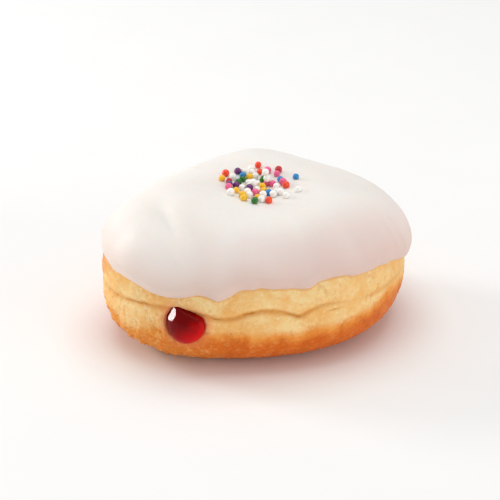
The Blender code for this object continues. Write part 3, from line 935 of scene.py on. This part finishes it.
def jam_tree():
    """The jam, turned about the filling hole's axis from the points of its profile."""
    entries = {"Geometry": "Geometry", **JAM_GRID, "Material": "Material"}
    tree, sizes = new_tree("piped jam", entries)
    sheet, across, down = grid(tree, sizes["Steps round"], sizes["Rows"])
    index = maths(tree, "ROUND", down * sizes["Rows"])
    profile = [at_point(tree, sizes["Geometry"], label, index) for label in PROFILE_VALUES]
    forward, reach, outline_share = profile
    angle = -1 * across * TURN
    reach = reach * (1 + outline_share * (hole_outline(angle) - 1))
    mouth, sideways, outward = hole_mouth()
    off, rise = reach * cosine(angle), reach * sine(angle)
    dome = smooth_step(forward, 0.0, JAM_BULGE)
    forward = forward - rise * dome * JAM_HANG
    flat_off, flat_rise, flat_height = JAM_FLAT_PLACE
    flat = flat_height + (off - flat_off) * JAM_FLAT_SLOPE[0] + (rise - flat_rise) * JAM_FLAT_SLOPE[1]
    forward = maths(tree, "SMOOTH_MIN", forward, flat, JAM_FLAT_EASE)
    x = mouth.x + sideways.x * off + outward.x * forward
    y = mouth.y + sideways.y * off + outward.y * forward
    # Painted light: the share across the jam towards its lower right, where it is painted brighter
    lit_share = (off * JAM_LIT_WAY[0] + rise * JAM_LIT_WAY[1]) / HOLE_RADIUS
    sheet = store(tree, sheet, "lit_share", lit_share)
    sheet = moved(tree, sheet, place=joined(tree, x, y, mouth.z + rise))
    sheet = welded(tree, sheet)
    normal = out(tree, "GeometryNodeInputNormal")
    ripple = noise(tree, position(tree), JAM_WAVES) * JAM_RIPPLE
    sheet = moved(tree, sheet, offset=times(tree, normal, ripple))
    dressed(tree, sheet, sizes["Material"])
    return tree


def bead_tree():
    """A round sugar bead on each point, of the size that the point carries and a little out of round."""
    entries = {"Geometry": "Geometry", **BEAD_GRID, "Seed": SHAPE_SEED, "Material": "Material"}
    tree, sizes = new_tree("sugar beads", entries)
    ball = {"Segments": sizes["Segments"], "Rings": sizes["Rings"], "Radius": 1.0}
    bead = out(tree, "GeometryNodeMeshUVSphere", ball)
    stretches = {0: (OUT_OF_ROUND[0],) * 3, 1: (OUT_OF_ROUND[1],) * 3, "Seed": sizes["Seed"]}
    stretch = out(tree, "FunctionNodeRandomValue", stretches, data_type="FLOAT_VECTOR")
    turns = {0: (0, 0, 0), 1: (TURN, TURN, TURN), "Seed": sizes["Seed"]}
    turn = out(tree, "FunctionNodeRandomValue", turns, data_type="FLOAT_VECTOR")
    placed = {
        "Points": sizes["Geometry"],
        "Instance": bead,
        "Rotation": turn,
        "Scale": times(tree, stretch, named_number(tree, "radius")),
    }
    dressed(tree, out(tree, "GeometryNodeInstanceOnPoints", placed), sizes["Material"])
    return tree


def jam_profile(rows):
    """The jam's profile as points: the dome, the throat, the channel and the pocket."""
    corners = []
    for k in range(DOME_STEPS + 1):
        angle = HALF_TURN / 2 * k / DOME_STEPS
        forward = (JAM_BULGE + JAM_SEAT) * math.cos(angle) - JAM_SEAT
        corners.append((forward, HOLE_RADIUS * math.sin(angle), math.sin(angle)))
    corners.append((-THROAT_DEPTH, THROAT_RADIUS, THROAT_OUTLINE_SHARE))
    corners.append((-CHANNEL_DEPTH, CHANNEL_RADIUS, CHANNEL_OUTLINE_SHARE))
    middle = POCKET_RADIUS - POCKET_BACK
    mouth_angle = math.asin(CHANNEL_RADIUS / POCKET_RADIUS)
    steps = rows - len(corners)
    for k in range(steps + 1):
        angle = mouth_angle + (HALF_TURN - mouth_angle) * k / steps
        corners.append((middle + POCKET_RADIUS * math.cos(angle), POCKET_RADIUS * math.sin(angle), 0.0))
    values = {label: [corner[k] for corner in corners] for k, label in enumerate(PROFILE_VALUES)}
    return points_mesh("jam profile", [(0, 0, 0)] * len(corners), values)


def resting_height(surface, x, y, radius, beads):
    """The height of a bead's middle when it is lowered onto the icing and the beads already there."""
    top, _, _, _ = surface.ray_cast(Vector((x, y, CAD_BOX[1].z + BEAD_RADIUS)), Vector((0, 0, -1)))
    height = top.z + radius - BEAD_SINK
    for bead, other in beads:
        reach = BEAD_NESTING * (radius + other)
        across = math.hypot(x - bead.x, y - bead.y)
        if across < reach:
            height = max(height, bead.z + math.sqrt(reach**2 - across**2))
    return height


def bead_places(surface):
    """(middle, radius) of each sugar bead: most lie where there is room, and the last few on top."""
    draw = random.Random(BEAD_SEED)
    spots = [(x * MM, y * MM) for x, y, _ in PLACED_BEADS]
    while len(spots) < LYING_BEADS + TOP_BEADS:
        on_top = len(spots) >= LYING_BEADS
        angle = draw.uniform(0, TURN)
        reach = draw.random() ** PILE_CROWDING * (TOP_SPREAD if on_top else 1)
        x = PILE_PLACE.x + PILE_REACH[0] * reach * math.cos(angle)
        y = PILE_PLACE.y + PILE_REACH[1] * reach * math.sin(angle)
        nearest = min(math.hypot(x - other_x, y - other_y) for other_x, other_y in spots)
        if on_top or nearest > BEAD_ROOM:
            spots.append((x, y))
    beads = []
    for x, y in spots:
        radius = BEAD_RADIUS * draw.uniform(*BEAD_SIZES)
        beads.append((Vector((x, y, resting_height(surface, x, y, radius, beads))), radius))
    return beads


def bead_colours(count):
    """A colour for each bead: the placed ones have their own, and the others follow the table's shares."""
    draw = random.Random(COLOUR_SEED)
    placed = [colour for _, _, colour in PLACED_BEADS]
    shares = [share for _, share in BEAD_COLOURS.values()]
    return placed + draw.choices(list(BEAD_COLOURS), shares, k=count - len(placed))


def new_material(name, finish):
    """A material with its shader's own sockets set, its node tree and that shader."""
    material = bpy.data.materials.new(name)
    material.use_nodes = True
    tree = material.node_tree
    shader = tree.nodes["Principled BSDF"]
    for label, value in finish.items():
        shader.inputs[label].default_value = value
    return material, tree, shader


def carried(tree, label):
    """The number of that name that the surface carries."""
    return out(tree, "ShaderNodeAttribute", at=2, attribute_name=label, attribute_type="GEOMETRY")


def object_place(tree):
    return out(tree, "ShaderNodeTexCoord", at=3)


def mixed(tree, share, first, second):
    """A colour between two others."""
    return out(tree, "ShaderNodeMix", {0: share, 6: first, 7: second}, at=2, data_type="RGBA")


def ramp(tree, value, low, high):
    """0 below low, 1 above high, in a material."""
    entries = {"Value": value, "From Min": low, "From Max": high}
    return out(tree, "ShaderNodeMapRange", entries, interpolation_type="SMOOTHSTEP")


def tinted(tree, colour, name, value, share=1.0):
    """A colour with one of the tints laid over it where a value is high."""
    tint, low, high, strength = TINTS[name]
    return mixed(tree, ramp(tree, value, low, high) * strength * share, colour, tint)


def bumped(tree, shader, height, distance):
    """Gives a shader a bump whose height is that field times the distance."""
    entries = {"Height": height, "Distance": distance, "Strength": 1.0}
    tree.links.new(out(tree, "ShaderNodeBump", entries).socket, shader.inputs["Normal"])


def fried_dough():
    """Pale soft dough round the middle, brown crust under it, painted shade in the folds and creases, a
    stain by the jam.
    """
    material, tree, shader = new_material("fried dough", DOUGH_FINISH)
    place = object_place(tree)
    broad = noise(tree, place, BROAD_PATCHES)
    middling = noise(tree, place, MIDDLING_PATCHES)
    fine = noise(tree, place, FINE_GRAIN)
    specks = noise(tree, place, SPECKS)
    pores = out(tree, "ShaderNodeTexVoronoi", {"Vector": place, "Scale": 1 / PORE_SPACING})
    pore = (1 - ramp(tree, pores + 0.5 * specks, *PORE_EDGE)) * ramp(tree, middling, *PORE_PATCHES)
    pale = tinted(tree, DOUGH_PALE, "cream", broad + 0.7 * middling)
    pale = tinted(tree, pale, "gold", 0.7 * fine + 0.25 * specks + 0.8 * middling)
    pale = tinted(tree, pale, "fleck", 0.6 * specks - fine)
    pale = mixed(tree, pore * PORE_IN_BAND, pale, DOUGH_PORE)
    crag_share = carried(tree, "crag_share") - CRAG_ELSEWHERE
    in_crust = carried(tree, "in_crust") / MM + 3.2 * middling + 1.1 * fine - CRAG_PALENESS * crag_share
    brown = tinted(tree, CRUST_TAN, "browned", in_crust, 1 - CRAG_TAN * crag_share)
    brown = tinted(tree, brown, "dark", middling + 0.6 * fine)
    mottled = MOTTLED_SHARES[0] + MOTTLED_SHARES[1] * crag_share
    brown = tinted(tree, brown, "mottled", fine - 0.4 * middling, mottled)
    brown = mixed(tree, pore * PORE_IN_CRUST, brown, CRUST_DARK)
    colour = mixed(tree, ramp(tree, in_crust, *CRUST_START), pale, brown)
    low_crags = ramp(tree, in_crust, *TAN_PATCH_REACH) * crag_share
    colour = tinted(tree, colour, "tan patch", middling + 0.5 * fine, low_crags)
    # Partly painted shade: a golden brown band just under the icing's edge, where the lip shades the dough;
    # at the left it reaches lower as toasted colour
    under_icing = carried(tree, "under_icing") / MM
    toast = carried(tree, "toast")
    reach = TOAST_DEPTH * toast - under_icing - (1.2 + TOAST_UNEVENNESS * toast) * middling
    toast_and_lip_shade = ramp(tree, reach, TOAST_AND_LIP_SHADE_START, -0.1 + 3.0 * toast)
    patches = ramp(tree, broad + 0.5 * middling, *TOAST_AND_LIP_SHADE_PATCH_EDGES)
    toast_and_lip_shade = toast_and_lip_shade * (TOAST_AND_LIP_SHADE_PATCHES * patches + (1 - TOAST_AND_LIP_SHADE_PATCHES) * toast)
    colour = mixed(tree, toast_and_lip_shade, colour, DOUGH_TOAST_AND_LIP_SHADE)
    colour = tinted(tree, colour, "toasted", fine + 0.8 * middling, toast_and_lip_shade * toast)
    # Painted shade: the fold's valley, its crease and the fine creases are painted darker, where the dough
    # shades them
    off_fold = carried(tree, "off_fold") / MM
    fold_shade_strength = carried(tree, "fold_depth") / MM
    colour = tinted(tree, colour, "fold", -1 * off_fold - 0.8 * fine, fold_shade_strength)
    broken_fold_shade = ramp(tree, 1.2 * middling + 0.6 * broad, *FOLD_SHADE_GAPS) * fold_shade_strength
    colour = tinted(tree, colour, "crease shade line", -1 * off_fold - 0.6 * fine, broken_fold_shade)
    colour = tinted(tree, colour, "fine crease shade", carried(tree, "crease_shade_share"))
    off_jam = carried(tree, "off_jam") / MM
    colour = tinted(tree, colour, "jam stain", -1 * off_jam - 1.5 * middling)
    colour = tinted(tree, colour, "jam rim", -1 * off_jam - 0.8 * fine)
    tree.links.new(colour.socket, shader.inputs["Base Color"])
    rough = 0.62 - 0.16 * ramp(tree, in_crust, 0.0, 5.0) + 0.25 * fine
    tree.links.new(rough.socket, shader.inputs["Roughness"])
    bumped(tree, shader, fine + 0.4 * specks - 0.2 * pore, DOUGH_BUMP)
    return material


def white_icing():
    """Set white icing with a soft gloss, warmer in colour along its edge where it is thin and where shade is
    painted on its lip, and painted pinkish grey on the side away from the lights.
    """
    material, tree, shader = new_material("white icing", ICING_FINISH)
    place = object_place(tree)
    clouds = noise(tree, place, ICING_CLOUDS)
    fine = noise(tree, place, ICING_GRAIN)
    to_edge = carried(tree, "to_edge") / MM
    shaded_side_share = carried(tree, "shaded_side_share")
    # Painted shade on the lip and on the side away from the lights, over the warmer tint of thin icing
    thin = THIN_AND_SHADED_SHARES[0] + THIN_AND_SHADED_SHARES[1] * shaded_side_share
    colour = tinted(tree, ICING_WHITE, "icing cream", clouds + 0.3 * fine)
    colour = tinted(tree, colour, "thin icing and lip shade", -1 * to_edge - 4.0 * clouds, thin)
    colour = tinted(tree, colour, "shaded side of icing", -1 * to_edge - 6.0 * clouds, shaded_side_share)
    tree.links.new(colour.socket, shader.inputs["Base Color"])
    rough = 0.54 + 0.2 * clouds + 0.12 * fine
    tree.links.new(rough.socket, shader.inputs["Roughness"])
    bumped(tree, shader, fine + 2.0 * noise(tree, place, ICING_DIMPLES), ICING_BUMP)
    return material


def red_jam():
    """Wet, deep red jam, nearly black, with painted light: brighter red towards its lower right, as if light
    came through it.
    """
    material, tree, shader = new_material("red jam", JAM_FINISH)
    clots = noise(tree, object_place(tree), JAM_CLOTS)
    # Painted light: the jam is painted brighter red towards its lower right
    lit = ramp(tree, carried(tree, "lit_share") + 0.7 * clots, *JAM_LIT)
    tree.links.new(mixed(tree, lit, JAM_DEEP, JAM_PAINTED_LIGHT).socket, shader.inputs["Base Color"])
    bumped(tree, shader, clots, JAM_BUMP)
    return material


def sugar_bead(name, colour):
    """A hard sugar bead: one colour, a soft gloss and a slightly dusty surface."""
    material, tree, shader = new_material(name, BEAD_FINISH)
    dust = noise(tree, object_place(tree), BEAD_DUST)
    tree.links.new(tinted(tree, colour, "dust", dust).socket, shader.inputs["Base Color"])
    tree.links.new((0.3 + 0.2 * dust).socket, shader.inputs["Roughness"])
    bumped(tree, shader, dust, BEAD_BUMP)
    return material


def pale_floor():
    """A plain matt surface, nearly white."""
    material, tree, shader = new_material("pale floor", FLOOR_FINISH)
    grain = noise(tree, object_place(tree), FLOOR_GRAIN)
    colour = mixed(tree, grain + 0.5, FLOOR_WHITE, FLOOR_SHADE)
    tree.links.new(colour.socket, shader.inputs["Base Color"])
    return material


def make_beads(surface):
    """The heap of sugar beads, one piece for each colour."""
    beads = bead_places(surface)
    colours = bead_colours(len(beads))
    tree = bead_tree()
    pieces = []
    for name, (colour, _) in BEAD_COLOURS.items():
        own = [bead for bead, chosen in zip(beads, colours) if chosen == name]
        radii = {"radius": [radius for _, radius in own]}
        points = points_mesh(f"{name} bead places", [place for place, _ in own], radii)
        material = sugar_bead(f"{name} sugar", seen(*colour))
        pieces.append(made_by(tree, f"beads_{name}", points, material))
    return pieces


def add_light(name, place, aim, size, power, colour):
    """A square soft light that looks at a point."""
    lamp = bpy.data.lights.new(name, "AREA")
    lamp.size = size
    lamp.energy = power
    lamp.color = colour
    light = bpy.data.objects.new(name, lamp)
    light.location = place
    light.rotation_euler = (Vector(aim) - Vector(place)).to_track_quat("-Z", "Y").to_euler()
    bpy.context.scene.collection.objects.link(light)


def make_studio():
    """The pale floor, the soft lights and the pale surround."""
    floor_mesh = bpy.data.meshes.new("floor")
    corners = [(x * FLOOR_REACH, y * FLOOR_REACH, 0) for x, y in ((-1, -1), (1, -1), (1, 1), (-1, 1))]
    floor_mesh.from_pydata(corners, [], [(0, 1, 2, 3)])
    floor_mesh.materials.append(pale_floor())
    floor = bpy.data.objects.new("floor", floor_mesh)
    bpy.context.scene.collection.objects.link(floor)
    for light in LIGHTS:
        add_light(*light)
    world = bpy.data.worlds.new("pale surround")
    world.use_nodes = True
    surround = world.node_tree.nodes["Background"]
    surround.inputs["Color"].default_value = SURROUND_COLOUR
    surround.inputs["Strength"].default_value = SURROUND_STRENGTH
    bpy.context.scene.world = world
    bpy.context.scene.view_settings.view_transform = "Standard"


def make_camera():
    """The photograph's camera, with the small shift that its framing needs."""
    lens = bpy.data.cameras.new("camera")
    lens.sensor_width = SENSOR
    lens.lens = SENSOR * CAMERA_FOCAL_PIXELS / PHOTO_SIZE
    lens.shift_x = (PHOTO_SIZE / 2 - TARGET_PIXEL[0]) / PHOTO_SIZE
    lens.shift_y = (TARGET_PIXEL[1] - PHOTO_SIZE / 2) / PHOTO_SIZE
    lens.clip_start = 0.01
    lens.clip_end = 20.0
    camera = bpy.data.objects.new("camera", lens)
    back = Vector((0, -math.cos(CAMERA_ELEVATION), math.sin(CAMERA_ELEVATION)))
    camera.location = CAMERA_TARGET + back * CAMERA_DISTANCE
    camera.rotation_euler = (-back).to_track_quat("-Z", "Y").to_euler()
    bpy.context.scene.collection.objects.link(camera)
    bpy.context.scene.camera = camera


def main():
    """Makes every piece, sets each one on the doughnut's body and hides the part of model.glb that it stands
    for.
    """
    make_camera()
    make_studio()
    surface = surface_group()
    dough_ring = ring_of_tables("dough ring", DOUGH_GRID["Bearings"])
    icing_ring = ring_of_tables("icing ring", ICING_GRID["Bearings"])
    profile = jam_profile(JAM_GRID["Rows"])
    dough = made_by(dough_tree(surface), "fried_dough", dough_ring, fried_dough())
    icing = made_by(icing_tree(surface), "poured_icing", icing_ring, white_icing())
    jam = made_by(jam_tree(), "piped_jam", profile, red_jam())
    beads = make_beads(BVHTree.FromObject(icing, bpy.context.evaluated_depsgraph_get()))
    for piece, node in ((dough, "dough"), (icing, "icing"), (jam, "jam")):
        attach(piece, "root")
        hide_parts(node)
    for piece in beads:
        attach(piece, "root")
        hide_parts("icing")


main()
